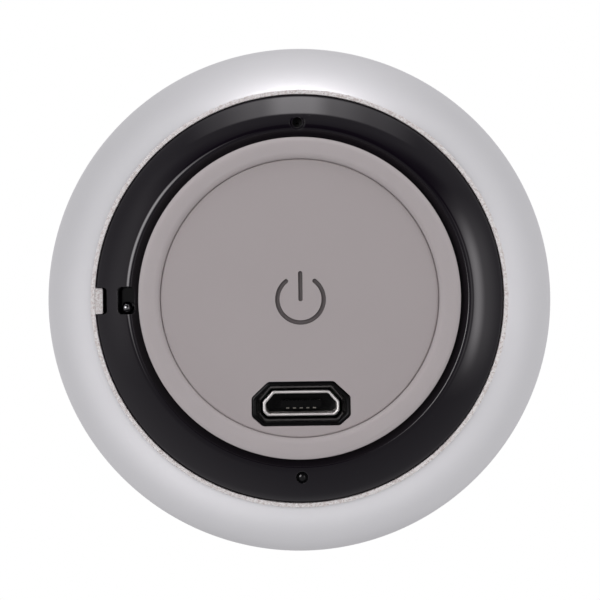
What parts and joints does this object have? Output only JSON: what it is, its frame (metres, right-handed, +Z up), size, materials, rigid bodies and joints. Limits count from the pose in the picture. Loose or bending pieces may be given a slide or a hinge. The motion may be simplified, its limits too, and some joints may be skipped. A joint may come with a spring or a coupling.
{
  "type": "pocket speaker",
  "caption": "Squat round metal-bodied pocket speaker with a perforated top, and a black base with a rubber foot, a large power key, a charging port and a strap bar.",
  "frame": {"origin": "centre of the foot ring on the plane that it rests on", "axes": "+Z up through the grille, +Y towards the charging port, -X towards the strap bar"},
  "size_m": [0.052, 0.052, 0.025],
  "materials": {
    "satin_aluminium": "bead-blasted and clear anodised, satin",
    "grille_aluminium": "perforated, satin",
    "gloss_black": "moulded, high gloss",
    "black_steel": "black plated, gloss",
    "grey_silicone": "matte, fine texture",
    "white_plastic": "moulded, matte",
    "black_plastic": "moulded, matte",
    "port_steel": "nickel plated",
    "gold_contacts": "gold plated",
    "grille_cloth": "open weave, black",
    "spider_cloth": "resin-stiffened weave",
    "tape": "foam tape",
    "black_rubber": "matte",
    "screw_steel": "zinc plated",
    "board_green": "solder mask over glass laminate",
    "chip_black": "moulded",
    "ferrite": "sintered",
    "ceramic_white": "ceramic",
    "ceramic_tan": "ceramic with tinned ends",
    "can_steel": "nickel plated can",
    "stem_plastic": "moulded",
    "smoked_clear": "smoked, polished",
    "battery_foil": "aluminium laminate pouch",
    "wire_insulation": "flexible, satin",
    "basket_black": "black paint",
    "magnet_nickel": "nickel plated",
    "coil_copper": "enamelled copper wire",
    "cone_paper": "pressed paper, black"
  },
  "bodies": {
    "body": {"body_shell": "satin_aluminium", "speaker_grille": "grille_aluminium", "base_cover": "gloss_black", "strap_pin": "black_steel", "foot_ring": "grey_silicone", "button_web": "grey_silicone", "battery_connector": "white_plastic", "port_bezel": "black_plastic", "usb_insulator": "black_plastic", "lower_frame": "black_plastic", "upper_frame": "black_plastic", "switch_body": "black_plastic", "driver_terminals": "black_plastic", "usb_shell": "port_steel", "usb_contacts": "gold_contacts", "grille_cloth": "grille_cloth", "spider": "spider_cloth", "battery_tape": "tape", "base_gasket": "black_rubber", "mic_boot": "black_rubber", "driver_gasket": "black_rubber", "cone_surround": "black_rubber", "base_screws": "screw_steel", "board_screws": "screw_steel", "main_board": "board_green", "wireless_chip": "chip_black", "amplifier_chip": "chip_black", "power_inductor": "ferrite", "antenna": "ceramic_white", "status_led": "ceramic_white", "board_passives": "ceramic_tan", "crystal": "can_steel", "microphone": "can_steel", "switch_dome": "can_steel", "led_light_pipe": "smoked_clear", "battery_cell": "battery_foil", "battery_wires": "wire_insulation", "speaker_wires": "wire_insulation", "driver_frame": "basket_black", "magnet_pot": "magnet_nickel", "magnet": "magnet_nickel", "pole_plate": "magnet_nickel"},
    "power_key": {"power_button": "grey_silicone", "button_plunger": "white_plastic"},
    "switch_plunger": {"switch_stem": "stem_plastic"},
    "cone_assembly": {"voice_coil": "coil_copper", "cone": "cone_paper", "dust_cap": "cone_paper"}
  },
  "joints": [
    {"name": "power_key_press", "type": "slide", "parent": "body", "child": "power_key", "axis": [0, 0, 1], "range_m": [0, 0.0004], "stiffness_N_per_m": 3500, "deforming": ["button_web"]},
    {"name": "switch_press", "type": "slide", "parent": "body", "child": "switch_plunger", "axis": [0, 0, 1], "range_m": [0, 0.0004], "deforming": ["switch_dome"]},
    {"name": "cone_travel", "type": "slide", "parent": "body", "child": "cone_assembly", "axis": [0, 0, 1], "range_m": [-0.0006, 0.0006], "stiffness_N_per_m": 1200, "deforming": ["cone_surround", "spider"]}
  ],
  "couplings": [
    {"joint": "switch_press", "follows": "power_key_press", "ratio": 1}
  ]
}
